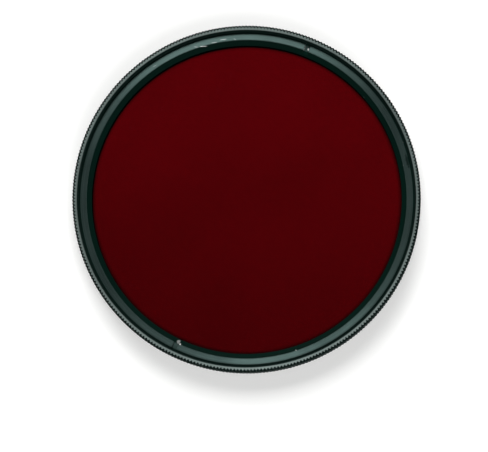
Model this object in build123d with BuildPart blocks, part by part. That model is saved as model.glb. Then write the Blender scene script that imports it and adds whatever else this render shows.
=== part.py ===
from build123d import *
import os
from math import cos, pi, radians, sqrt

# Screw-in infrared filter: a turned aluminium frame, a disc of red glass and a threaded retaining ring.
# The axis is Z. The rear end of the male thread lies on Z = 0 and the front, which faces the subject, is up.

# Driving dimensions in millimetres, angles in degrees.

# Threads: both are the same size, so that filters can be stacked.
thread_diameter = 77.0
thread_pitch = 0.75
male_thread_allowance = 0.05
male_thread_length = 2.2
male_lead_in = 0.3
free_thread_length = 1.6

# Grip rim: fine straight ridges all round, with a deeper notch between each two at the front edge.
rim_overhang = 1.05
rim_width = 6.5
rim_chamfer = 0.25
ridge_count = 322
ridge_depth = 0.15
ridge_crest_width = 0.2
notch_depth = 0.7
notch_cutter_share = 0.9

# Glass, its pocket in the frame, the ledge that carries it and the recess behind the ledge.
glass_thickness = 2.5
glass_edge_chamfer = 0.2
glass_clearance = 0.1
pocket_step = 0.75
ledge_width = 2.0
ledge_thickness = 1.0
recess_step = 1.1
recess_edge_chamfer = 0.2

# Retaining ring: screwed down on the glass, with two spanner slots across it.
ring_thickness = 1.4
ring_clearance = 0.03
ring_seat_gap = 0.15
ring_chamfer_width = 0.45
ring_chamfer_height = 0.3
bevel_width = 1.15
bevel_land = 0.2
slot_width = 1.2
slot_depth = 0.7
slot_angle = 68.1
slot_spread = 176.1

# Radii. The free turns of the front thread are a wall at their crests, and the turns that hold the
# retaining ring are a wall at their roots, which the crests of the ring's own thread run in.
thread_radius = thread_diameter / 2
front_crest_radius = thread_radius - 5 / 8 * thread_pitch * cos(radians(30))
rear_crest_radius = thread_radius - male_thread_allowance
rim_radius = thread_radius + rim_overhang
pocket_radius = front_crest_radius - pocket_step
glass_radius = pocket_radius - glass_clearance
aperture_radius = glass_radius - ledge_width
recess_radius = aperture_radius + recess_step
ring_radius = thread_radius - ring_clearance
groove_width = 2 * pi * rim_radius / ridge_count - ridge_crest_width

# The notch cutter: as wide as a groove where it crosses the rim's front corner, and high enough to clear
# that corner without meeting the next notch.
notch_height = notch_cutter_share * notch_depth
notch_half_width = notch_cutter_share * groove_width / sqrt(2)

# Heights, from the rear end to the front face.
shoulder_z = male_thread_length
front_z = shoulder_z + rim_width
lead_in_z = front_z - (thread_radius - front_crest_radius)
ring_face_z = front_z - free_thread_length
glass_front_z = ring_face_z - ring_thickness
ring_seat_z = glass_front_z - ring_seat_gap
ledge_z = glass_front_z - glass_thickness
recess_z = ledge_z - ledge_thickness

with BuildPart() as notch_cutter:
    # A V whose floor climbs at 45 degrees from the front face out to the rim.
    with BuildSketch(Plane(origin=(rim_radius - notch_depth, 0, front_z), x_dir=(0, 1, 0), z_dir=(1, 0, -1))):
        Polygon((0, 0), (notch_half_width, notch_height), (-notch_half_width, notch_height), align=None)
    extrude(amount=2 * notch_depth)

with BuildPart() as filter_frame:
    # Rim: a prism with one flat side for each ridge crest, and both its ends chamfered.
    with BuildSketch(Plane.XY.offset(shoulder_z)):
        RegularPolygon(rim_radius, ridge_count, major_radius=False)
    extrude(amount=rim_width)
    chamfer(filter_frame.faces().filter_by(Axis.Z).edges(), length=rim_chamfer)

    # Ridges: a V cut between each crest and the next, drawn out to as far beyond the rim as it is deep.
    with BuildSketch(Plane.XY.offset(shoulder_z)):
        with PolarLocations(rim_radius, ridge_count):
            Polygon(
                (-ridge_depth, 0),
                (ridge_depth, -groove_width),
                (ridge_depth, groove_width),
                align=None,
            )
    extrude(amount=rim_width, mode=Mode.SUBTRACT)
    with PolarLocations(0, ridge_count):
        add(notch_cutter.part, mode=Mode.SUBTRACT)

    # Male thread behind the shoulder.
    with BuildSketch(Plane.XY):
        Circle(rear_crest_radius)
    extrude(amount=male_thread_length)
    chamfer(filter_frame.edges().filter_by(GeomType.CIRCLE).sort_by(Axis.Z)[0], length=male_lead_in)

    # Bore, turned out in steps from the rear end to the front face.
    with BuildSketch(Plane.XZ):
        with BuildLine():
            Polyline(
                (0, 0),
                (recess_radius + recess_edge_chamfer, 0),
                (recess_radius, recess_edge_chamfer),
                (recess_radius, recess_z),
                (aperture_radius, recess_z),
                (aperture_radius, ledge_z),
                (pocket_radius, ledge_z),
                (pocket_radius, ring_seat_z),
                (thread_radius, ring_seat_z),
                (thread_radius, ring_face_z),
                (front_crest_radius, ring_face_z),
                (front_crest_radius, lead_in_z),
                (thread_radius, front_z),
                (0, front_z),
                close=True,
            )
        make_face()
    revolve(axis=Axis.Z, mode=Mode.SUBTRACT)

with BuildPart() as filter_glass:
    # A polished disc, ground to a chamfer at both edges.
    with BuildSketch(Plane.XY.offset(ledge_z)):
        Circle(glass_radius)
    extrude(amount=glass_thickness)
    chamfer(filter_glass.edges().filter_by(GeomType.CIRCLE), length=glass_edge_chamfer)

with BuildPart() as retaining_ring:
    # Turned section, bevelled down to the glass.
    with BuildSketch(Plane.XZ):
        with BuildLine():
            Polyline(
                (aperture_radius, glass_front_z),
                (ring_radius, glass_front_z),
                (ring_radius, ring_face_z - ring_chamfer_height),
                (ring_radius - ring_chamfer_width, ring_face_z),
                (aperture_radius + bevel_width, ring_face_z),
                (aperture_radius, glass_front_z + bevel_land),
                close=True,
            )
        make_face()
    revolve(axis=Axis.Z)

    # Two spanner slots, cut right across the ring.
    with BuildSketch(Plane.XY.offset(ring_face_z)):
        with PolarLocations(
            (aperture_radius + ring_radius) / 2,
            2,
            start_angle=slot_angle,
            angular_range=slot_spread,
            endpoint=True,
        ):
            Rectangle(2 * (ring_radius - aperture_radius), slot_width)
    extrude(amount=-slot_depth, mode=Mode.SUBTRACT)

filter_frame.part.label = "filter_frame"
filter_glass.part.label = "filter_glass"
retaining_ring.part.label = "retaining_ring"

os.makedirs("parts", exist_ok=True)
export_step(filter_frame.part, "parts/filter_frame.step")
export_step(filter_glass.part, "parts/filter_glass.step")
export_step(retaining_ring.part, "parts/retaining_ring.step")
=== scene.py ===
"""Looks of a screw-in infrared lens filter: a black turned frame, a slotted retaining ring and a red glass.

Sizes are in millimetres and angles in degrees, until a mesh is written in metres. The axis is Z, and the
rear end of the male thread lies on Z = 0. Angles run anticlockwise from +X, seen from the front.
"""
import logging
from dataclasses import dataclass
from enum import Enum
from typing import Any, Callable

import bpy
import numpy as np
from bpy.types import ID, Material, Node, NodeSocket as Socket, NodeTree, Object, bpy_prop_collection
from mathutils import Matrix, Vector


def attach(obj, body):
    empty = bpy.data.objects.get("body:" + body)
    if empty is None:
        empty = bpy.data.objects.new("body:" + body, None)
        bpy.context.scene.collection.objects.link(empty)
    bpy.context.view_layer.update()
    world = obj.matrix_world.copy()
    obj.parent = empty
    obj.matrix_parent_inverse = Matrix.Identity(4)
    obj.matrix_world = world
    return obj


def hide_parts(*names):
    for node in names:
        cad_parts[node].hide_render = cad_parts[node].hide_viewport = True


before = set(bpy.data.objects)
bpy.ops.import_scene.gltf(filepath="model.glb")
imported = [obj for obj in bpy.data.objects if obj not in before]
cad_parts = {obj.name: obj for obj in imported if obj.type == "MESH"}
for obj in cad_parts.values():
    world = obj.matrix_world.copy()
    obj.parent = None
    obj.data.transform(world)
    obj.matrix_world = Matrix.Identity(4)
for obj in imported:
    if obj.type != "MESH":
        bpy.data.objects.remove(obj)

Array = np.ndarray
Colour = tuple[float, float, float]
Sockets = dict[str, Socket]
Range = tuple[float, float]
Trim = Callable[[Array, Array], Array]

MM = 0.001
FULL_TURN = 2 * np.pi
# Steps of a turned face round the axis, one to each ridge of the rim.
COLUMNS = 322
WHITE: Colour = (1.0, 1.0, 1.0)
UNIT: Range = (0.0, 1.0)

# Points in one cell of the weld grid become one. Its shift keeps round sizes off the borders of its cells.
WELD_CELL = 2e-4
WELD_SHIFT = 0.137
# Decimals of the height of a thread's rows, so that each turn ends where the next one starts.
HEIGHT_DECIMALS = 9
SHARP_ANGLE = 33

log = logging.getLogger("filter")


class ThreadSide(Enum):
    """Which side of a threaded wall is metal."""

    MALE = "male"
    FEMALE = "female"


class Slot(Enum):
    """The record's material slots."""

    FRAME = "frame_black"
    RING = "ring_black"
    GLASS = "red_glass"


class Skin:
    """The surfaces of one piece, gathered as arrays and welded into one closed mesh.

    Every point carries two values from 0 to 1: edge, how near it lies to a rubbed edge, and face, how open
    its face lies to handling and light; the finishes paint shade onto the points whose face is low.
    """

    def __init__(self, name: str) -> None:
        """Starts an empty skin.

        Args:
            name: The name of the piece.
        """
        self.name = name
        self.points: list[Array] = []
        self.values: list[Array] = []
        self.triangles: list[Array] = []
        self.count = 0

    def add_grid(self, points: Array, values: Array, around: bool = True) -> Array:
        """Adds a grid of points and its triangles, two to a cell.

        A cell a, b, c, d becomes a, b, c and a, c, d. The normal is the cross product of the column step
        and the row step, so rows run anticlockwise in the plane of radius and height.

        Args:
            points: Array of rows, columns and 3 coordinates.
            values: Array of rows, columns and the 2 values edge and face.
            around: Whether the last column joins the first.

        Returns:
            The index of each point, with the first column repeated at the end if around.
        """
        rows, columns = points.shape[:2]
        index = np.arange(rows * columns).reshape(rows, columns) + self.count
        self.points.append(points.reshape(-1, 3))
        self.values.append(values.reshape(-1, 2))
        self.count += rows * columns
        if around:
            index = np.concatenate([index, index[:, :1]], axis=1)
        a, b, c, d = index[:-1, :-1], index[:-1, 1:], index[1:, 1:], index[1:, :-1]
        self.add_triangles(np.stack([a, b, c], axis=-1))
        self.add_triangles(np.stack([a, c, d], axis=-1))
        return index

    def add_triangles(self, triangles: Array, flip: bool = False) -> None:
        """Adds triangles of point indices, turned round if flip."""
        flat = triangles.reshape(-1, 3)
        self.triangles.append(flat[:, ::-1] if flip else flat)

    def add_bridge(self, coarse: Array, fine: Array, flip: bool) -> None:
        """Joins a circle of few points to a circle round it whose points are a whole number of times as many.

        Each step of the coarse circle has a fan to half of its fine steps from either end and one triangle
        between the two fans.

        Args:
            coarse: Indices of the inner circle, with the first one repeated at the end.
            fine: Indices of the outer circle, with the first one repeated at the end.
            flip: Whether the metal lies above the surface.
        """
        steps = len(coarse) - 1
        ratio = (len(fine) - 1) // steps
        half = ratio // 2
        first = fine[:-1].reshape(steps, ratio)
        second = fine[1:].reshape(steps, ratio)
        owner = np.where(np.arange(ratio) < half, coarse[:-1, None], coarse[1:, None])
        self.add_triangles(np.stack([first, second, owner], axis=-1), flip)
        self.add_triangles(np.stack([first[:, half], coarse[1:], coarse[:-1]], axis=-1), flip)

    def build(self) -> Object:
        """Welds the points that coincide, drops the triangles that this empties, and makes the mesh object.

        Returns:
            The object, at the origin, in metres, with smooth shading broken at its real edges.
        """
        points = np.concatenate(self.points)
        values = np.concatenate(self.values)
        triangles = np.concatenate(self.triangles)
        keys = np.round(points / WELD_CELL + WELD_SHIFT).astype(np.int64)
        _, first, owner = np.unique(keys, axis=0, return_index=True, return_inverse=True)
        triangles = owner.reshape(-1)[triangles]
        a, b, c = triangles.T
        triangles = triangles[(a != b) & (b != c) & (c != a)]
        points, values = points[first] * MM, values[first]

        mesh = bpy.data.meshes.new(self.name)
        mesh.vertices.add(len(points))
        mesh.vertices.foreach_set("co", points.astype(np.float32).ravel())
        mesh.loops.add(triangles.size)
        mesh.loops.foreach_set("vertex_index", triangles.astype(np.int32).ravel())
        mesh.polygons.add(len(triangles))
        mesh.polygons.foreach_set("loop_start", np.arange(0, triangles.size, 3, dtype=np.int32))
        mesh.update(calc_edges=True)
        for column, name in enumerate(("edge", "face")):
            attribute = mesh.attributes.new(name, "FLOAT", "POINT")
            attribute.data.foreach_set("value", values[:, column].astype(np.float32))
        mesh.shade_smooth()
        mesh.set_sharp_from_angle(angle=np.radians(SHARP_ANGLE))
        mesh.validate()
        log.info("%s: %d points, %d triangles", self.name, len(points), len(triangles))
        return placed(self.name, mesh)


def placed(name: str, data: ID) -> Object:
    """Makes an object and links it to the scene.

    Args:
        name: The object's name.
        data: Its mesh, lamp or camera.

    Returns:
        The object, at the origin.
    """
    made = bpy.data.objects.new(name, data)
    bpy.context.scene.collection.objects.link(made)
    return made


def cylindrical(radius: Array, angle: Array, height: Array) -> Array:
    """Points x = r cos a, y = r sin a, z = h of arrays that broadcast together."""
    radius, angle, height = np.broadcast_arrays(radius, angle, height)
    return np.stack([radius * np.cos(angle), radius * np.sin(angle), height], axis=-1)


@dataclass(frozen=True)
class Outline:
    """A turned outline, anticlockwise in the plane of radius and height.

    Each corner is radius, height, easing and wear. Each face between two corners has one openness, and a low
    openness paints shade onto that face.
    """

    corners: tuple[tuple[float, float, float, float], ...]
    faces: tuple[float, ...]
    closed: bool = False
    support: float = 0.08
    reach: float = 0.4

    def rows(self) -> Array:
        """The outline as rows of radius, height, edge and face.

        A corner P with the neighbour N gets a point P + e (N - P) / |N - P| on either side, where e is the
        easing, and a point at e plus the support distance, which keeps the flat faces flat in their shading.

        Returns:
            Array of rows by 4, whose first row is repeated at the end if the outline is closed.
        """
        corners, faces = np.array(self.corners), np.array(self.faces)
        before, after = np.roll(corners, 1, axis=0), np.roll(corners, -1, axis=0)
        face_after = faces if self.closed else np.append(faces, faces[-1])
        face_before = np.roll(face_after, 1)
        _, _, ease, wear = corners.T

        def beside(other: Array, away: Array) -> Array:
            """Places points towards the other corners, at most the share reach of the way.

            Args:
                other: The neighbour of each corner.
                away: How far from its corner each point lies.

            Returns:
                Radius and height of each point.
            """
            step = (other - corners)[:, :2]
            share = np.minimum(away / np.linalg.norm(step, axis=1), self.reach)
            return corners[:, :2] + step * share[:, None]

        middle = (face_before + face_after) / 2
        plain = np.zeros_like(wear)
        sides = (
            (before, ease + self.support, plain, face_before),
            (before, ease, wear, middle),
            (after, ease, wear, middle),
            (after, ease + self.support, plain, face_after),
        )
        stack = np.stack([np.column_stack([beside(n, e), *values]) for n, e, *values in sides], axis=1)
        if self.closed:
            rows = stack.reshape(-1, 4)
            return np.concatenate([rows, rows[:1]])
        start = np.array([[*corners[0, :2], wear[0], faces[0]]])
        end = np.array([[*corners[-1, :2], wear[-1], faces[-1]]])
        return np.concatenate([start, stack[1:-1].reshape(-1, 4), end])


def revolve(skin: Skin, outline: Outline) -> Array:
    """Carries an outline round the axis: x = r cos a, y = r sin a, z = h.

    Args:
        skin: Where the surface goes.
        outline: The section to carry round.

    Returns:
        The index of each point, rows by columns, with the first column repeated at the end.
    """
    rows = outline.rows()
    angles = (np.arange(COLUMNS) * FULL_TURN / COLUMNS)[None, :]
    points = cylindrical(rows[:, :1], angles, rows[:, 1:2])
    values = np.broadcast_to(rows[:, None, 2:], (len(rows), COLUMNS, 2))
    return skin.add_grid(points, values)


@dataclass(frozen=True)
class ScrewThread:
    """A right-hand 60 degree thread: a wall whose radius depends on angle and height."""

    outer_radius: float
    pitch: float = 0.75
    depth: float = 0.406
    outer_flat: float = 1 / 8
    inner_flat: float = 1 / 4
    corner_ease: float = 0.02
    crest_wear: float = 0.25
    worn_share: float = 0.25

    def flank(self) -> tuple[float, float]:
        """Phases at which a flank leaves the outer flat and meets the inner one."""
        return self.outer_flat / 2, 0.5 - self.inner_flat / 2

    def radius_at(self, angle: Array, height: Array) -> Array:
        """Radius R - depth (1 - w), where w is a trapezium wave of the phase height / pitch - angle / 2 pi.

        The wave is 1 over the outer flat, 0 over the inner flat and straight between them.

        Args:
            angle: Angle round the axis, in radians.
            height: Height over the rear end.

        Returns:
            The radius, of both arrays broadcast together.
        """
        phase = (height / self.pitch - angle / FULL_TURN) % 1.0
        away = np.minimum(phase, 1 - phase)
        start, stop = self.flank()
        wave = np.clip((stop - away) / (stop - start), 0, 1)
        return self.outer_radius - self.depth * (1 - wave)

    def phases(self) -> Array:
        """Places the rows of one pitch: both sides of each corner, and the middle of each flat and flank.

        Returns:
            Phases from 0 to below 1, in rising order.
        """
        start, stop = self.flank()
        ease = self.corner_ease
        half = np.array([0.0, start - ease, start + ease, (start + stop) / 2, stop - ease, stop + ease])
        return np.concatenate([half, [0.5], 1 - half[:0:-1]])

    def add_wall(
        self, skin: Skin, low: float, high: float, side: ThreadSide, trim: Trim, face: float
    ) -> None:
        """Adds the threaded wall between two heights.

        Rows follow the helix: height = pitch (n + phase + angle / 2 pi), held between low and high, so that
        a row of one turn ends where the same row of the next turn starts.

        Args:
            skin: Where the surface goes.
            low: Height of the lower end.
            high: Height of the upper end.
            side: Whether the metal is inside or outside the wall.
            trim: Gives the radius from the thread's own radius and the height, for lead-ins and run-outs.
            face: Openness of the wall, whose lower values paint it in shade.
        """
        turns = np.arange(np.floor(low / self.pitch) - 1, np.ceil(high / self.pitch) + 1)
        level = (turns[:, None] + self.phases()[None, :]).ravel()[:, None]
        share = np.arange(COLUMNS + 1)[None, :] / COLUMNS
        height = np.clip(np.round(self.pitch * (level + share), HEIGHT_DECIMALS), low, high)
        angle = np.broadcast_to(share * FULL_TURN, height.shape)
        own = self.radius_at(angle, height)
        radius = trim(own, height)
        crest = self.outer_radius if side is ThreadSide.MALE else self.outer_radius - self.depth
        edge = np.clip(1 - np.abs(radius - crest) / (self.worn_share * self.depth), 0, 1) * self.crest_wear
        points = cylindrical(radius, angle % FULL_TURN, height)
        values = np.stack([edge, np.full_like(edge, face)], axis=-1)
        if side is ThreadSide.FEMALE:
            points, values = points[::-1], values[::-1]
        skin.add_grid(points, values, around=False)


class Wiring:
    """Adds nodes to one shader tree and joins them."""

    def __init__(self, tree: NodeTree) -> None:
        """Works on that tree."""
        self.tree = tree

    def feed(self, socket: Socket, value: Any) -> None:
        """Links a socket to another, or sets it to a plain value.

        Args:
            socket: The input to feed.
            value: A socket, number or vector, or a colour, which gets full alpha.
        """
        if isinstance(value, Socket):
            self.tree.links.new(value, socket)
        else:
            socket.default_value = (*value, 1.0) if socket.type == "RGBA" else value

    def fill(self, node: Node, inputs: dict[Any, Any]) -> None:
        """Feeds several inputs of a node, by name or number."""
        for key, value in inputs.items():
            self.feed(node.inputs[key], value)

    def node(self, kind: str, inputs: dict[Any, Any] | None = None, **settings: Any) -> Node:
        """Adds a node.

        Args:
            kind: The node's type without its prefix ShaderNode.
            inputs: What its inputs get, by name or number.
            settings: The node's own settings.

        Returns:
            The node.
        """
        made = self.tree.nodes.new("ShaderNode" + kind)
        for name, value in settings.items():
            setattr(made, name, value)
        self.fill(made, inputs or {})
        return made

    def maths(self, operation: str, *values: Any, clamp: bool = False) -> Socket:
        """The result of one sum on numbers or sockets."""
        return self.node("Math", dict(enumerate(values)), operation=operation, use_clamp=clamp).outputs[0]

    def times(self, first: Any, second: Any) -> Socket:
        """The product of two numbers or sockets."""
        return self.maths("MULTIPLY", first, second)

    def plus(self, first: Any, second: Any) -> Socket:
        """The sum of two numbers or sockets."""
        return self.maths("ADD", first, second)

    def split(self, vector: Socket) -> tuple[Socket, ...]:
        """The three parts of a vector."""
        return tuple(self.node("SeparateXYZ", {0: vector}).outputs)

    def length(self, x: Socket, y: Socket) -> Socket:
        """The root of x x + y y."""
        return self.maths("SQRT", self.plus(self.times(x, x), self.times(y, y)))

    def scaled(self, vector: Any, scale: Socket) -> Socket:
        """A vector or a colour times a number."""
        return self.node("VectorMath", {0: vector, "Scale": scale}, operation="SCALE").outputs[0]

    def blend(self, share: Any, first: Any, second: Any) -> Socket:
        """The first colour turning to the second by share."""
        return self.node("Mix", {0: share, 6: first, 7: second}, data_type="RGBA").outputs[2]

    def ramp(self, value: Socket, given: Range, wanted: Range = UNIT) -> Socket:
        """A value in the given range turned smoothly into the wanted one, and held at its ends outside."""
        sent = dict(enumerate((value, *given, *wanted)))
        return self.node("MapRange", sent, interpolation_type="SMOOTHSTEP").outputs[0]

    def noise(self, scale: Any, detail: float = 2.0) -> Socket:
        """Grey noise of that scale over the piece."""
        return self.node("TexNoise", {"Vector": self.place(), "Scale": scale, "Detail": detail}).outputs[0]

    def noise_along(self, value: Socket, detail: float = 2.0) -> Socket:
        """Grey noise along a line, with one wave to a unit."""
        sent = {"W": value, "Scale": 1.0, "Detail": detail}
        return self.node("TexNoise", sent, noise_dimensions="1D").outputs[0]

    def place(self) -> Socket:
        """The point on the piece, in metres."""
        return self.node("TexCoord").outputs["Object"]

    def attribute(self, name: str) -> Socket:
        """A value that the mesh carries."""
        return self.node("Attribute", attribute_name=name).outputs["Fac"]

    def effect(self, effect: "Effect", inputs: dict[str, Any]) -> bpy_prop_collection:
        """Places an effect's group with those inputs, and gives its outputs by name."""
        return self.node("Group", inputs, node_tree=effect.tree()).outputs


@dataclass(frozen=True)
class Effect:
    """A surface effect that several materials share, as a shader node group."""

    name: str
    inputs: dict[str, Any]
    wire: Callable[[Wiring, Sockets], Sockets]

    def tree(self) -> NodeTree:
        """Makes the node group when it is first asked for.

        Returns:
            The group, with its named inputs and outputs.
        """
        made = bpy.data.node_groups.get(self.name)
        if made:
            return made
        made = bpy.data.node_groups.new(self.name, "ShaderNodeTree")
        for name, value in self.inputs.items():
            kind = "NodeSocketVector" if isinstance(value, tuple) else "NodeSocketFloat"
            made.interface.new_socket(name=name, in_out="INPUT", socket_type=kind).default_value = value
        wiring = Wiring(made)
        given = made.nodes.new("NodeGroupInput").outputs
        results = self.wire(wiring, {socket.name: socket for socket in given})
        for name in results:
            made.interface.new_socket(name=name, in_out="OUTPUT", socket_type="NodeSocketFloat")
        wiring.fill(made.nodes.new("NodeGroupOutput"), results)
        return made


def wire_turning_marks(w: Wiring, given: Sockets) -> Sockets:
    """Fine rings left by the lathe: noise over radius plus height, so they run round every turned face.

    Args:
        w: The group's wiring.
        given: Pitch, the spacing of the rings in millimetres, and Wander, how far they stray.

    Returns:
        Height of the marks, and a slower Tone of the finish over them.
    """
    broad_pace, broad_share, patch_share = 0.17, 0.55, 0.45
    x, y, z = w.split(w.place())
    stray = w.times(w.noise(scale=160.0), given["Wander"])
    along = w.plus(w.times(w.plus(w.length(x, y), z), 1 / MM), stray)
    step = w.maths("DIVIDE", along, given["Pitch"])
    broad = w.noise_along(w.times(step, broad_pace), detail=1.0)
    patch = w.noise(scale=90.0, detail=3.0)
    tone = w.plus(w.times(broad, broad_share), w.times(patch, patch_share))
    return {"Height": w.noise_along(step), "Tone": w.ramp(tone, (0.3, 0.7))}


def wire_edge_wear(w: Wiring, given: Sockets) -> Sockets:
    """Rubbed edges: the mesh's edge value, broken up by two noises, times the Amount.

    Args:
        w: The group's wiring.
        given: Amount, how strong the wear is, and Grain, the scale of the finer noise.

    Returns:
        Mask of the worn places.
    """
    grain = w.ramp(w.noise(given["Grain"], detail=3.0), (0.25, 0.75), (0.35, 1.0))
    patch = w.ramp(w.noise(scale=70.0, detail=1.0), (0.3, 0.7), (0.4, 1.0))
    worn = w.times(w.attribute("edge"), w.times(grain, patch))
    return {"Mask": w.maths("MULTIPLY", w.ramp(worn, (0.12, 0.75)), given["Amount"], clamp=True)}


def wire_dust(w: Wiring, given: Sockets) -> Sockets:
    """Dust specks: round spots in some cells of a Voronoi pattern, chosen by the cell's random colour.

    Args:
        w: The group's wiring.
        given: Scale of the cells, Cover, the share of them with a speck, and Size, a speck's reach in cells.

    Returns:
        Mask of the specks.
    """
    least_reach, softness = 0.3, 0.6
    cells = w.node("TexVoronoi", {"Vector": w.place(), "Scale": given["Scale"]}).outputs
    chance = w.node("SeparateColor", {0: cells["Color"]}).outputs
    chosen = w.maths("LESS_THAN", chance[0], given["Cover"])
    reach = w.times(given["Size"], w.plus(chance[1], least_reach))
    spot = w.maths("SUBTRACT", 1.0, w.maths("DIVIDE", cells["Distance"], reach), clamp=True)
    return {"Mask": w.times(w.maths("POWER", spot, softness), chosen)}


def wire_stroke(w: Wiring, given: Sockets) -> Sockets:
    """One nick: an ellipse round the Centre, with its length along the Turn and a ragged rim.

    Args:
        w: The group's wiring.
        given: Centre in metres, Turn in radians, and Half length and Half width in metres.

    Returns:
        Mask of the nick.
    """
    offset = w.node("VectorMath", {0: w.place(), 1: given["Centre"]}, operation="SUBTRACT").outputs[0]
    back = w.times(given["Turn"], -1.0)
    turned = w.node("VectorRotate", {"Vector": offset, "Angle": back}, rotation_type="Z_AXIS").outputs[0]
    x, y, _ = w.split(turned)
    x = w.maths("DIVIDE", x, given["Half length"])
    y = w.maths("DIVIDE", y, given["Half width"])
    ragged = w.ramp(w.noise(scale=2500.0), (0.2, 0.8), (-0.25, 0.25))
    return {"Mask": w.ramp(w.plus(w.length(x, y), ragged), (0.55, 1.0), (1.0, 0.0))}


TURNING_MARKS = Effect("turning_marks", {"Pitch": 0.08, "Wander": 0.02}, wire_turning_marks)
EDGE_WEAR = Effect("edge_wear", {"Amount": 0.5, "Grain": 900.0}, wire_edge_wear)
DUST = Effect("dust", {"Scale": 400.0, "Cover": 0.1, "Size": 0.1}, wire_dust)
STROKE = Effect(
    "stroke",
    {"Centre": (0.0, 0.0, 0.0), "Turn": 0.0, "Half length": 0.001, "Half width": 0.0001},
    wire_stroke,
)


@dataclass(frozen=True)
class Nick:
    """A bare or dark mark at an angle and radius on the face, turned from the radial direction."""

    angle: float
    radius: float
    length: float
    width: float
    turn: float
    strength: float

    def mask(self, w: Wiring) -> Socket:
        """Places the mark in a material.

        Args:
            w: The material's wiring.

        Returns:
            The mark's mask times its strength.
        """
        a = np.radians(self.angle)
        given = {
            "Centre": (self.radius * MM * np.cos(a), self.radius * MM * np.sin(a), 0.0),
            "Turn": a + np.radians(self.turn),
            "Half length": self.length / 2 * MM,
            "Half width": self.width / 2 * MM,
        }
        return w.times(w.effect(STROKE, given)["Mask"], self.strength)


def gather(w: Wiring, marks: tuple[Nick, ...]) -> Socket | float:
    """Joins the masks of several marks by taking the strongest.

    Args:
        w: The material's wiring.
        marks: The marks on the piece.

    Returns:
        The joined mask, or 0 where there are no marks.
    """
    found: Socket | float = 0.0
    for mark in marks:
        found = w.maths("MAXIMUM", found, mark.mask(w))
    return found


def new_material(name: str) -> tuple[Material, Wiring, Node]:
    """Makes a material with nodes.

    Args:
        name: The material's name.

    Returns:
        The material, the wiring of its tree and its shader.
    """
    made = bpy.data.materials.new(name)
    made.use_nodes = True
    return made, Wiring(made.node_tree), made.node_tree.nodes["Principled BSDF"]


@dataclass(frozen=True)
class AnodisedFinish:
    """Black anodised aluminium: turned, rubbed pale at its edges, a little dust, and painted shade on shut
    faces.
    """

    name: str
    painted_shade_and_smudge: Colour
    open_face: Colour
    worn: Colour
    roughness: float
    anisotropy: float
    mark_pitch: float
    wear: float
    dust_cover: float
    mark_depth: float = 0.004
    sheen: float = 0.5
    hollow_roughness: float = 0.45
    mark_wander: float = 0.6
    tone_shades: Range = (0.86, 1.12)
    tone_swing: float = 0.05
    rubbed_polish: float = 0.08
    rubbed_metal: float = 0.5
    dust_opacity: float = 0.6
    dust_roughness: float = 0.2
    dust_height: float = 0.8
    ior: float = 1.12
    bare: Colour = (0.62, 0.64, 0.63)
    dust: Colour = (0.30, 0.31, 0.29)
    nicks: tuple[Nick, ...] = ()
    smudges: tuple[Nick, ...] = ()

    def material(self) -> Material:
        """The finish as a material.

        Returns:
            A material whose colour, roughness and relief follow the turned faces, with shade painted into the
            colour of the less open ones.
        """
        made, w, shader = new_material(self.name)
        wander = self.mark_pitch * self.mark_wander
        marks = w.effect(TURNING_MARKS, {"Pitch": self.mark_pitch, "Wander": wander})
        rubbed = w.effect(EDGE_WEAR, {"Amount": self.wear, "Grain": 1400.0})["Mask"]
        specks = w.effect(DUST, {"Scale": 900.0, "Cover": self.dust_cover, "Size": 0.12})["Mask"]
        face, bare = w.attribute("face"), gather(w, self.nicks)

        # Painted shade: the less open a face, the nearer its colour comes to the dark shade colour; smudges
        # take it too.
        skin = w.blend(face, self.painted_shade_and_smudge, self.open_face)
        toned = w.scaled(skin, w.ramp(marks["Tone"], UNIT, self.tone_shades))
        colour = w.blend(gather(w, self.smudges), toned, self.painted_shade_and_smudge)
        colour = w.blend(rubbed, colour, self.worn)
        colour = w.blend(w.times(specks, self.dust_opacity), colour, self.dust)

        least, most = self.roughness - self.tone_swing, self.roughness + self.tone_swing
        shut = w.maths("SUBTRACT", 1.0, face, clamp=True)
        rough = w.plus(w.ramp(marks["Tone"], UNIT, (least, most)), w.times(shut, self.hollow_roughness))
        rough = w.maths("SUBTRACT", rough, w.times(rubbed, self.rubbed_polish))
        metal = w.maths("MAXIMUM", w.times(face, self.sheen), w.times(rubbed, self.rubbed_metal))
        height = w.plus(marks["Height"], w.times(specks, self.dust_height))
        bump = w.node("Bump", {"Height": height, "Distance": self.mark_depth * MM, "Strength": 1.0})
        tangent = w.node("Tangent", direction_type="RADIAL", axis="Z")
        inputs = {
            "Base Color": w.blend(bare, colour, self.bare),
            "Roughness": w.maths("ADD", rough, w.times(specks, self.dust_roughness), clamp=True),
            "Metallic": w.maths("MAXIMUM", bare, metal),
            "Normal": bump.outputs[0],
            "Tangent": tangent.outputs[0],
            "Anisotropic": self.anisotropy,
            "Anisotropic Rotation": 0.25,
            "IOR": self.ior,
        }
        w.fill(shader, inputs)
        return made


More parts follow.
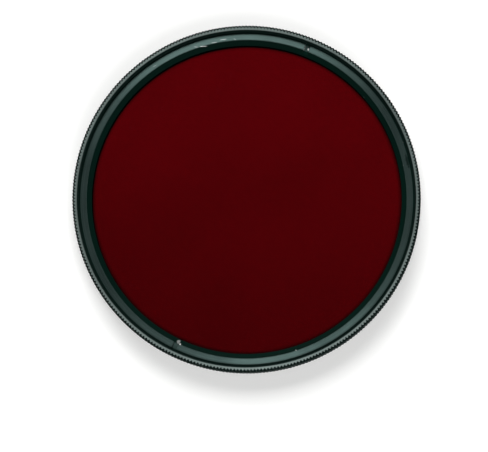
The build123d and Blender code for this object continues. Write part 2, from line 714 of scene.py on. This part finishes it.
@dataclass(frozen=True)
class GlassFinish:
    """Polished glass, deep red right through, with faint wiping marks, a few specks and painted shade at its
    margin.
    """

    name: str
    red: Colour
    painted_margin_shade: Colour
    speck: Colour
    margin_start: float
    margin_stop: float
    roughness: float
    cloud_shades: Range = (0.93, 1.07)
    wiped_roughness: float = 0.03
    dust_opacity: float = 0.35
    speck_roughness: float = 0.3
    speck_height: float = 0.02
    ior: float = 1.52
    specks: tuple[Nick, ...] = ()

    def material(self) -> Material:
        """The finish as a material.

        Returns:
            A clear material tinted red, with shade painted into the margin beside the metal.
        """
        made, w, shader = new_material(self.name)
        x, y, _ = w.split(w.place())
        edge = w.ramp(w.length(x, y), (self.margin_start * MM, self.margin_stop * MM))
        cloud = w.ramp(w.noise(scale=45.0, detail=3.0), (0.3, 0.7), self.cloud_shades)
        # Painted shade: the colour darkens towards the edge, in the margin beside the ledge.
        colour = w.blend(edge, w.scaled(self.red, cloud), self.painted_margin_shade)
        dust = w.effect(DUST, {"Scale": 420.0, "Cover": 0.02, "Size": 0.06})["Mask"]
        seen = w.maths("MAXIMUM", w.times(dust, self.dust_opacity), gather(w, self.specks))
        most = self.roughness + self.wiped_roughness
        wiped = w.ramp(w.noise(scale=130.0, detail=4.0), (0.35, 0.8), (self.roughness, most))
        bump = w.node("Bump", {"Height": seen, "Distance": self.speck_height * MM, "Strength": 0.5})
        inputs = {
            "Base Color": w.blend(seen, colour, self.speck),
            "Roughness": w.plus(wiped, w.times(seen, self.speck_roughness)),
            "Normal": bump.outputs[0],
            "Transmission Weight": 1.0,
            "IOR": self.ior,
        }
        w.fill(shader, inputs)
        return made


FRAME_FINISH = AnodisedFinish(
    name="frame_anodised",
    painted_shade_and_smudge=(0.0025, 0.0085, 0.007),
    open_face=(0.128, 0.160, 0.152),
    worn=(0.30, 0.33, 0.32),
    roughness=0.42,
    anisotropy=0.4,
    mark_pitch=0.07,
    wear=0.7,
    dust_cover=0.06,
)
RING_FINISH = AnodisedFinish(
    name="ring_anodised",
    painted_shade_and_smudge=(0.0006, 0.0095, 0.0065),
    open_face=(0.058, 0.092, 0.086),
    worn=(0.26, 0.29, 0.27),
    roughness=0.32,
    anisotropy=0.85,
    mark_pitch=0.06,
    wear=0.35,
    dust_cover=0.05,
    sheen=0.75,
    nicks=(
        Nick(67.6, 37.0, 0.65, 0.5, 4.0, 0.9),
        Nick(68.9, 36.9, 1.5, 0.16, 2.0, 0.4),
        Nick(244.7, 35.95, 1.1, 0.95, -6.0, 0.4),
        Nick(245.6, 36.3, 0.5, 0.4, 10.0, 0.7),
        Nick(105.5, 36.3, 1.9, 0.16, 78.0, 0.9),
        Nick(108.3, 36.7, 1.2, 0.14, 60.0, 0.4),
        Nick(98.0, 36.9, 2.2, 0.12, 90.0, 0.55),
        Nick(101.5, 36.55, 1.5, 0.22, 84.0, 0.35),
        Nick(94.0, 36.6, 0.8, 0.14, 45.0, 0.35),
        Nick(124.5, 37.0, 1.4, 0.08, 85.0, 0.4),
        Nick(288.0, 36.25, 0.35, 0.15, 30.0, 0.9),
    ),
    smudges=(Nick(13.0, 37.5, 3.6, 1.0, 90.0, 0.7),),
)
RED_GLASS = GlassFinish(
    name="infrared_glass",
    red=(0.072, 0.0002, 0.0015),
    painted_margin_shade=(0.006, 0.0002, 0.0005),
    speck=(0.22, 0.06, 0.07),
    margin_start=34.2,
    margin_stop=35.5,
    roughness=0.015,
    specks=(
        Nick(147.9, 31.0, 0.3, 0.16, 20.0, 0.5),
        Nick(132.9, 28.6, 0.35, 0.18, 60.0, 0.5),
        Nick(97.0, 28.9, 0.5, 0.14, 10.0, 0.45),
        Nick(104.5, 26.0, 0.3, 0.2, 0.0, 0.5),
        Nick(56.5, 31.9, 0.45, 0.12, 40.0, 0.4),
        Nick(43.3, 27.2, 0.3, 0.18, 70.0, 0.5),
        Nick(246.0, 22.2, 0.35, 0.2, 15.0, 0.5),
        Nick(250.7, 33.0, 0.3, 0.16, 50.0, 0.5),
        Nick(216.6, 32.8, 0.32, 0.16, 80.0, 0.45),
        Nick(330.0, 10.3, 0.26, 0.16, 30.0, 0.4),
    ),
)


@dataclass(frozen=True)
class GripRim:
    """The grip rim: shallow straight ridges all round, with a deep notch between each two at the front edge.

    The steps place columns from a groove's middle and from its brink, and the gaps place rows over the rear
    chamfer, and under and over the start of the notches.
    """

    radius: float = 39.548
    groove_depth: float = 0.15
    notch_depth: float = 0.77
    tooth_length: float = 0.45
    ridge_count: int = COLUMNS
    crest_width: float = 0.2
    chamfer: float = 0.32
    rear_height: float = 2.2
    front_height: float = 8.7
    land_radius: float = 38.74
    face_slope: float = 0.115
    ease: float = 0.03
    groove_steps: tuple[float, ...] = (0.0, 0.04, 0.10, 0.17)
    corner_steps: tuple[float, ...] = (-0.03, 0.015)
    row_gaps: tuple[float, float, float] = (0.5, 0.4, 0.15)
    crest_start: float = 0.8
    wear_seed: int = 7
    least_wear: float = 0.5

    def pitch(self) -> float:
        """Distance from one ridge to the next along the rim."""
        return FULL_TURN * self.radius / self.ridge_count

    def ridge_columns(self) -> tuple[Array, Array, Array]:
        """Angle, distance from the nearest groove and crest share of 12 columns to a ridge.

        Each ridge has its own small wear, from a fixed seed.

        Returns:
            Three arrays over all columns.
        """
        pitch = self.pitch()
        groove, crest = (pitch - self.crest_width) / 2, pitch / 2
        half = np.array([*self.groove_steps, *(groove + step for step in self.corner_steps), crest])
        step = np.concatenate([half, pitch - half[-2:0:-1]])
        away = np.minimum(step, pitch - step)
        start = groove * self.crest_start
        share = np.clip((away - start) / (crest - start), 0, 1)
        angle = (np.arange(self.ridge_count)[:, None] * pitch + step[None, :]) / self.radius
        rubbed = np.random.default_rng(self.wear_seed).uniform(self.least_wear, 1.0, (self.ridge_count, 1))
        away = np.broadcast_to(away, angle.shape)
        return angle.ravel(), away.ravel(), (share[None, :] * rubbed).ravel()

    def wall_radius(self, away: Array, height: Array) -> Array:
        """Radius of the ridged wall at a distance from the nearest groove and a height.

        It is the least of the rim R, the groove R - g + g d / w and the notch f(h) + t d / p, with d the
        distance, w half the groove's width, g its depth, p half the pitch and t the length of the teeth. The
        floor of the notch, whose depth is n, climbs at 45 degrees: f(h) = R - n + (front - h).

        Args:
            away: Distance from the groove along the rim.
            height: Height over the rear end.

        Returns:
            The radius, of both arrays broadcast together.
        """
        pitch = self.pitch()
        groove = self.radius - self.groove_depth * (1 - away / ((pitch - self.crest_width) / 2))
        floor = self.radius - self.notch_depth + (self.front_height - height)
        notch = floor + self.tooth_length * away / (pitch / 2)
        return np.minimum(self.radius, np.minimum(groove, notch))

    def face_height(self, radius: Array | float) -> Array | float:
        """Height of the front face, a very flat cone that falls towards the mouth from the teeth's tips."""
        return self.front_height - self.face_slope * np.maximum(self.radius - self.chamfer - radius, 0)

    def add_to(self, skin: Skin) -> tuple[Array, Array]:
        """Adds the rim: a turned outline held within the ridged wall, r = min(R(s), W(d, h)), and the face.

        Args:
            skin: Where the surface goes.

        Returns:
            Indices of the rear circle and of the front circle, each closed.
        """
        angle, away, crest = self.ridge_columns()
        low, high, cut, ease, r = self.rear_height, self.front_height, self.chamfer, self.ease, self.radius
        foot, under, over = self.row_gaps
        meet = high - self.notch_depth + self.groove_depth
        # Radius, height, edge and face of each row; a low face paints the row in shade.
        rows = (
            (self.land_radius, low, 0.0, 0.3),
            (r - cut - ease, low, 0.2, 0.3),
            (r - cut + ease, low + ease, 0.4, 0.15),
            (r, low + cut + ease, 0.4, 0.2),
            (r, low + cut + foot, 0.2, 0.2),
            (r, meet - under, 0.2, 0.2),
            (r, meet, 0.2, 0.2),
            (r, meet + over, 0.2, 0.15),
            (r, high - cut - ease, 0.1, 0.05),
            (r - ease, high - cut + ease, 0.1, 0.0),
            (r - cut + ease, high - ease, 0.1, 0.0),
            (r - cut - ease, high, 0.35, 1.0),
            (self.land_radius, high, 0.0, 1.0),
        )
        outline = np.array(rows)
        height = outline[:, 1:2]
        wall = self.wall_radius(away[None, :], height)
        radius = np.minimum(outline[:, :1], wall)
        points = cylindrical(radius, angle[None, :], np.minimum(height, self.face_height(radius)))
        # Painted shade: grooves and notches lose their openness, so their colour turns to the dark shade
        # colour.
        painted_notch_shade = np.clip((r - wall) / self.groove_depth, 0, 1) * (height < high)
        values = np.stack([outline[:, 2:3] * crest[None, :], outline[:, 3:4] * (1 - painted_notch_shade)], axis=-1)
        index = skin.add_grid(points, values)
        return index[0], index[-1]


@dataclass(frozen=True)
class FilterFrame:
    """The turned frame: ridged rim, a thread at each end, and the pocket and ledge for the glass.

    The front thread's wall ends hidden_turn under the ring's face.
    """

    rim: GripRim = GripRim()
    front_thread: ScrewThread = ScrewThread(outer_radius=38.5)
    rear_thread: ScrewThread = ScrewThread(outer_radius=38.45, crest_wear=0.4)
    seat_radius: float = 38.5
    seat_height: float = 5.55
    ring_face_height: float = 7.1
    mouth_radius: float = 38.47
    pocket_radius: float = 37.344
    ledge_radius: float = 35.244
    ledge_height: float = 3.2
    recess_radius: float = 36.344
    recess_height: float = 2.2
    relief_radius: float = 38.0
    relief_height: float = 1.95
    lead_height: float = 0.3
    lead_ease: float = 0.03
    run_out_slope: float = 1.5
    hidden_turn: float = 0.3
    lip_flat: float = 0.005
    bridge_width: float = 0.02
    rear_chamfer: float = 0.2
    rear_openness: float = 0.35
    finish: AnodisedFinish = FRAME_FINISH

    def build(self) -> Object:
        """Builds the frame: the ridged rim, the front, the bore and the rear.

        Returns:
            The finished frame, which stands for its node.
        """
        skin = Skin("turned_frame")
        rear, front = self.rim.add_to(skin)
        self.add_front(skin, front)
        self.add_bore(skin)
        self.add_rear(skin, rear)
        return dressed(skin, self.finish, "filter_frame")

    def lead_start(self) -> float:
        """Radius of the male lead-in at the rear end, so that it meets the thread's root at its ease."""
        rise = self.rear_thread.depth / (1 - self.lead_ease / self.lead_height)
        return self.rear_thread.outer_radius - rise

    def add_front(self, skin: Skin, rim_circle: Array) -> None:
        """Adds the front face inside the ridges and the female thread down to the retaining ring.

        The lead-in is a cone of 45 degrees down from the mouth, and the run-out opens by its slope times the
        depth under the ring's face.

        Args:
            skin: Where the surface goes.
            rim_circle: Indices of the rim's front circle.
        """
        mouth, ease = self.mouth_radius, self.rim.ease
        lip = self.rim.face_height(mouth)
        land = self.rim.land_radius - self.bridge_width
        corners = (
            (land, self.rim.face_height(land), 0.0, 0.0),
            (mouth + self.lip_flat, lip, 0.015, 0.3),
            (mouth - ease, lip - ease, 0.0, 0.1),
        )
        index = revolve(skin, Outline(corners, (1.0, 0.05)))
        skin.add_bridge(index[0], rim_circle, flip=False)

        def trim(own: Array, height: Array) -> Array:
            """Takes the widest of the thread, its lead-in and its run-out, within the seat and under the lip.

            Args:
                own: The thread's own radius.
                height: Height of each point.

            Returns:
                The radius of each point.
            """
            lead_in = mouth - (lip - height)
            opening = self.run_out_slope * (self.ring_face_height - height)
            run_out = self.seat_radius - self.front_thread.depth + opening
            limit = np.minimum(self.seat_radius, mouth - ease + (lip - ease - height))
            return np.minimum(np.maximum(np.maximum(own, lead_in), run_out), limit)

        low = self.ring_face_height - self.hidden_turn
        self.front_thread.add_wall(skin, low, lip - ease, ThreadSide.FEMALE, trim, 0.0)

    def add_bore(self, skin: Skin) -> None:
        """Adds the plain steps from the retaining ring's seat down to the rear end.

        Args:
            skin: Where the surface goes.
        """
        root = self.rear_thread.outer_radius - self.rear_thread.depth
        corners = (
            (self.seat_radius, self.ring_face_height - self.hidden_turn, 0.0, 0.0),
            (self.seat_radius, self.seat_height, 0.03, 0.0),
            (self.pocket_radius, self.seat_height, 0.05, 0.2),
            (self.pocket_radius, self.ledge_height, 0.03, 0.0),
            (self.ledge_radius, self.ledge_height, 0.05, 0.3),
            (self.ledge_radius, self.recess_height, 0.05, 0.6),
            (self.recess_radius, self.recess_height, 0.03, 0.0),
            (self.recess_radius, self.rear_chamfer, 0.04, 0.6),
            (self.recess_radius + self.rear_chamfer, 0.0, 0.04, 0.9),
            (self.lead_start(), 0.0, 0.02, 0.9),
            (root, self.lead_ease, 0.0, 0.6),
        )
        # Openness of each face; the low values paint shade onto the bore, the pocket, the ledge and the
        # recess.
        faces = (0.0, 0.0, 0.0, 0.0, 0.1, 0.25, 0.25, 0.6, 0.8, 0.6)
        revolve(skin, Outline(corners, faces))

    def add_rear(self, skin: Skin, rim_circle: Array) -> None:
        """Adds the male thread, its relief groove and the shoulder out to the ridges.

        The lead-in is a cone that reaches the crest at its height, and the run-out falls into the groove.

        Args:
            skin: Where the surface goes.
            rim_circle: Indices of the rim's rear circle.
        """
        crest = self.rear_thread.outer_radius
        start = self.lead_start()
        shoulder = self.rim.rear_height

        def trim(own: Array, height: Array) -> Array:
            """Takes the narrowest of the thread, its lead-in and its run-out, outside the groove's radius.

            Args:
                own: The thread's own radius.
                height: Height of each point.

            Returns:
                The radius of each point.
            """
            lead_in = start + height * (crest - start) / self.lead_height
            run_out = self.relief_radius + self.run_out_slope * (self.relief_height - height)
            return np.maximum(np.minimum(np.minimum(own, lead_in), run_out), self.relief_radius)

        low, high = self.lead_ease, self.relief_height
        self.rear_thread.add_wall(skin, low, high, ThreadSide.MALE, trim, self.rear_openness)
        corners = (
            (self.relief_radius, self.relief_height, 0.0, 0.0),
            (self.relief_radius, shoulder, 0.03, 0.0),
            (self.rim.land_radius, shoulder, 0.0, 0.0),
        )
        index = revolve(skin, Outline(corners, (0.1, 0.55)))
        skin.add_bridge(index[-1], rim_circle, flip=True)


@dataclass(frozen=True)
class RetainingRing:
    """The threaded ring that holds the glass, bevelled inside and slotted for a spanner.

    A slot's columns lie slot_steps inside its walls, and the lip beside a slot is lip_width wide.
    """

    outer_radius: float = 38.47
    inner_radius: float = 35.244
    base_height: float = 5.7
    face_height: float = 7.1
    chamfer_width: float = 0.75
    chamfer_height: float = 0.45
    bevel_radius: float = 36.394
    land_height: float = 0.2
    slot_floor: float = 6.4
    slot_width: float = 1.2
    slot_angles: Range = (68.1, 244.2)
    slot_steps: Range = (0.02, 0.12)
    slot_shade: float = 0.4
    lip_width: float = 0.04
    lip_sink: float = 0.05
    lip_wear: float = 0.7
    columns_between: int = 300
    finish: AnodisedFinish = RING_FINISH

    def outline(self) -> Outline:
        """Draws the ring's section, with a corner in its bevel and its outer wall at the slot's floor.

        Returns:
            The closed outline.
        """
        inner, outer, bevel = self.inner_radius, self.outer_radius, self.bevel_radius
        base, floor, face = self.base_height, self.slot_floor, self.face_height
        land = base + self.land_height
        slope = (bevel - inner) / (face - base - self.land_height)
        corners = (
            (outer, base, 0.03, 0.0),
            (outer, floor, 0.0, 0.0),
            (outer, face - self.chamfer_height, 0.03, 0.1),
            (outer - self.chamfer_width, face, 0.03, 0.3),
            (bevel, face, 0.03, 0.4),
            (bevel - (face - floor) * slope, floor, 0.0, 0.0),
            (inner, land, 0.03, 0.1),
            (inner, base, 0.03, 0.0),
        )
        return Outline(corners, (0.0, 0.0, 0.05, 1.0, 0.0, 0.0, 0.0, 0.0), closed=True)

    def column_angles(self, radius: Array) -> tuple[Array, Array]:
        """Angle of each column at each row's radius, and how far each column is sunk into a slot.

        A slot's columns lie at asin(x / r) from its middle, so that its walls are straight and parallel.
        Between two slots the columns are spread evenly from one wall to the next.

        Args:
            radius: The radius of each row.

        Returns:
            Angles, rows by columns, and the sink of each column from 0 to 1.
        """
        half = self.slot_width / 2
        near, far = self.slot_steps
        across = np.array([-half, near - half, far - half, 0.0, half - far, half - near, half])
        sink = np.array([self.lip_sink, 1.0, 1.0, 1.0, 1.0, 1.0, self.lip_sink])
        edge = half + self.lip_width
        starts = np.radians(self.slot_angles)
        ends = np.append(starts[1:], starts[0] + FULL_TURN)
        share = np.linspace(0, 1, self.columns_between)[None, :]
        r = radius[:, None]
        angles, sinks = [], []
        for start, end in zip(starts, ends):
            angles.append(start + np.arcsin(across[None, :] / r))
            first, last = start + np.arcsin(edge / r), end - np.arcsin(edge / r)
            angles.append(first + share * (last - first))
            sinks.extend([sink, np.zeros(self.columns_between)])
        return np.concatenate(angles, axis=1), np.concatenate(sinks)

    def build(self) -> Object:
        """Builds the ring: the section carried round the axis, and pressed down to the floor in each slot.

        In a slot the height is h - s (h - floor) wherever h is over the floor, with s the column's sink.

        Returns:
            The finished piece.
        """
        rows = self.outline().rows()
        angles, sink = self.column_angles(rows[:, 0])
        over = np.maximum(rows[:, 1:2] - self.slot_floor, 0)
        height = rows[:, 1:2] - over * sink[None, :]
        points = cylindrical(rows[:, :1], angles, height)
        lip = np.where((sink > 0) & (sink < 1), self.lip_wear, 0.0)[None, :] * (over > 0)
        edge = np.maximum(rows[:, 2:3] * (1 - sink[None, :]), lip)
        # Painted shade: a slot's floor loses openness, so its colour is painted darker.
        face = rows[:, 3:4] * (1 - self.slot_shade * sink[None, :])
        skin = Skin("retaining_ring_slotted")
        skin.add_grid(points, np.stack([edge, face], axis=-1))
        return dressed(skin, self.finish, "retaining_ring")


@dataclass(frozen=True)
class RedGlass:
    """The glass disc, flat and polished, with a ground chamfer at both edges."""

    radius: float = 37.244
    base_height: float = 3.2
    front_height: float = 5.7
    chamfer: float = 0.2
    inner_circles: tuple[float, ...] = (0.0, 2.0, 8.0, 16.0, 24.0, 32.0)
    finish: GlassFinish = RED_GLASS

    def build(self) -> Object:
        """Builds the disc, with each face closed at its middle point.

        Returns:
            The finished disc, which stands for its node.
        """
        low, high, cut, r = self.base_height, self.front_height, self.chamfer, self.radius
        under = [(c, low, 0.0, 0.0) for c in self.inner_circles]
        over = [(c, high, 0.0, 0.0) for c in self.inner_circles[::-1]]
        edge = [(r - cut, low), (r, low + cut), (r, high - cut), (r - cut, high)]
        corners = (*under, *((*corner, 0.01, 0.0) for corner in edge), *over)
        skin = Skin("infrared_disc")
        revolve(skin, Outline(corners, (1.0,) * (len(corners) - 1)))
        return dressed(skin, self.finish, "filter_glass")


def dressed(skin: Skin, finish: AnodisedFinish | GlassFinish, node: str) -> Object:
    """Builds a skin, gives it its finish, and lets it ride on the body and stand for its node.

    Args:
        skin: The surfaces of the piece.
        finish: What its material is made from.
        node: The name of the node that it replaces.

    Returns:
        The finished piece.
    """
    made = skin.build()
    made.data.materials.append(finish.material())
    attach(made, "root")
    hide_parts(node)
    return made


@dataclass(frozen=True)
class Softbox:
    """A square lamp at an angle round the axis and an elevation, aimed at the filter, in metres and watts."""

    name: str
    angle: float
    elevation: float
    distance: float
    size: float
    power: float
    colour: Colour = WHITE

    def build(self) -> None:
        """Hangs the lamp."""
        lamp = bpy.data.lights.new(self.name, "AREA")
        lamp.shape, lamp.size, lamp.energy, lamp.color = "SQUARE", self.size, self.power, self.colour
        made = placed(self.name, lamp)
        a, e = np.radians(self.angle), np.radians(self.elevation)
        made.location = Vector((np.cos(a) * np.cos(e), np.sin(a) * np.cos(e), np.sin(e))) * self.distance
        made.rotation_euler = made.location.to_track_quat("Z", "Y").to_euler()


@dataclass(frozen=True)
class Studio:
    """A pale floor, soft lamps off to the sides and a room that is dark straight overhead, in metres.

    The glow behind the glass grows from -glow_reach to +glow_reach along Y. The room turns dark over a band
    of the upward part of a direction.
    """

    floor_half: float = 4.0
    floor_drop: float = 0.00005
    floor_colour: Colour = (0.82, 0.82, 0.81)
    floor_lift: float = 0.24
    glow: Range = (0.76, 1.22)
    glow_reach: float = 0.040
    overhead_band: Range = (0.80, 0.93)
    overhead: Colour = (0.012, 0.013, 0.013)
    room: Colour = (0.16, 0.16, 0.16)
    lamps: tuple[Softbox, ...] = (
        Softbox("key_lamp", 99.0, 53.0, 0.90, 0.56, 7.5),
        Softbox("fill_lamp", 289.0, 52.0, 0.90, 0.62, 4.8),
    )

    def build(self) -> None:
        """Makes the floor, the room and the lamps."""
        self.build_floor()
        self.build_room()
        for lamp in self.lamps:
            lamp.build()
        log.info("studio: %d lamps", len(self.lamps))

    def build_floor(self) -> None:
        """Lays the floor, a little brighter to the camera and glowing behind the glass, more towards +Y."""
        h, z = self.floor_half, -self.floor_drop
        mesh = bpy.data.meshes.new("floor")
        mesh.from_pydata([(-h, -h, z), (h, -h, z), (h, h, z), (-h, h, z)], [], [(0, 1, 2, 3)])
        material, w, shader = new_material("pale_floor")
        path = w.node("LightPath").outputs
        _, y, _ = w.split(w.place())
        slope = w.ramp(y, (-self.glow_reach, self.glow_reach), self.glow)
        through = w.times(path["Is Transmission Ray"], slope)
        inputs = {
            "Base Color": self.floor_colour,
            "Roughness": 0.9,
            "Specular IOR Level": 0.1,
            "Emission Color": WHITE,
            "Emission Strength": w.plus(through, w.times(path["Is Camera Ray"], self.floor_lift)),
        }
        w.fill(shader, inputs)
        mesh.materials.append(material)
        placed("floor", mesh)

    def build_room(self) -> None:
        """Lights the room evenly, except for a dark patch straight overhead; the camera sees plain white."""
        world = bpy.data.worlds.new("studio_room")
        bpy.context.scene.world = world
        world.use_nodes = True
        w = Wiring(world.node_tree)
        background = world.node_tree.nodes["Background"]
        _, _, up = w.split(w.node("TexCoord").outputs["Generated"])
        seen = w.blend(w.ramp(up, self.overhead_band), self.room, self.overhead)
        camera = w.node("LightPath").outputs["Is Camera Ray"]
        w.feed(background.inputs["Color"], w.blend(camera, seen, WHITE))


def sides_of(back: Vector) -> tuple[Vector, Vector]:
    """The right and the up of a camera whose back points that way, with +Y up in its picture."""
    right = Vector((0, 1, 0)).cross(back).normalized()
    return right, back.cross(right)


@dataclass(frozen=True)
class Viewpoint:
    """The camera: almost over the filter, a little towards -Y and +X, with +Y up in the picture."""

    lean_y: float = 6.3
    lean_x: float = 2.3
    distance: float = 750.0
    picture: tuple[int, int] = (488, 452)
    centre_pixel: Range = (246.05, 197.75)
    pixel_size: float = 0.2265
    front_height: float = 8.7
    sensor: float = 36.0
    clip: Range = (0.01, 50.0)

    def build(self) -> None:
        """Places the camera so that the front edge's centre falls on its pixel, with no shift."""
        centre = Vector((0, 0, self.front_height))
        back = Vector((np.tan(np.radians(self.lean_x)), -np.tan(np.radians(self.lean_y)), 1.0)).normalized()
        place = centre + back * self.distance
        right, up = sides_of(back)
        (wide, tall), (column, row) = self.picture, self.centre_pixel
        across = (column - wide / 2) * self.pixel_size
        above = (tall / 2 - row) * self.pixel_size
        back = (place - (centre - right * across - up * above)).normalized()
        right, up = sides_of(back)
        data = bpy.data.cameras.new("camera")
        data.sensor_width = self.sensor
        data.lens = self.sensor * self.distance / self.pixel_size / wide
        data.clip_start, data.clip_end = self.clip
        made = placed("camera", data)
        made.matrix_world = Matrix.Translation(place * MM) @ Matrix((right, up, back)).transposed().to_4x4()
        bpy.context.scene.camera = made
        log.info("camera: lens %.1f mm", data.lens)


def main() -> None:
    """Builds and dresses the filter, then the studio and the camera."""
    logging.basicConfig(level=logging.INFO, format="%(name)s %(message)s")
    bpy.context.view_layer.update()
    bpy.context.scene.view_settings.view_transform = "Standard"
    for piece in (FilterFrame(), RetainingRing(), RedGlass()):
        piece.build()
    Studio().build()
    Viewpoint().build()


if __name__ == "__main__":
    main()
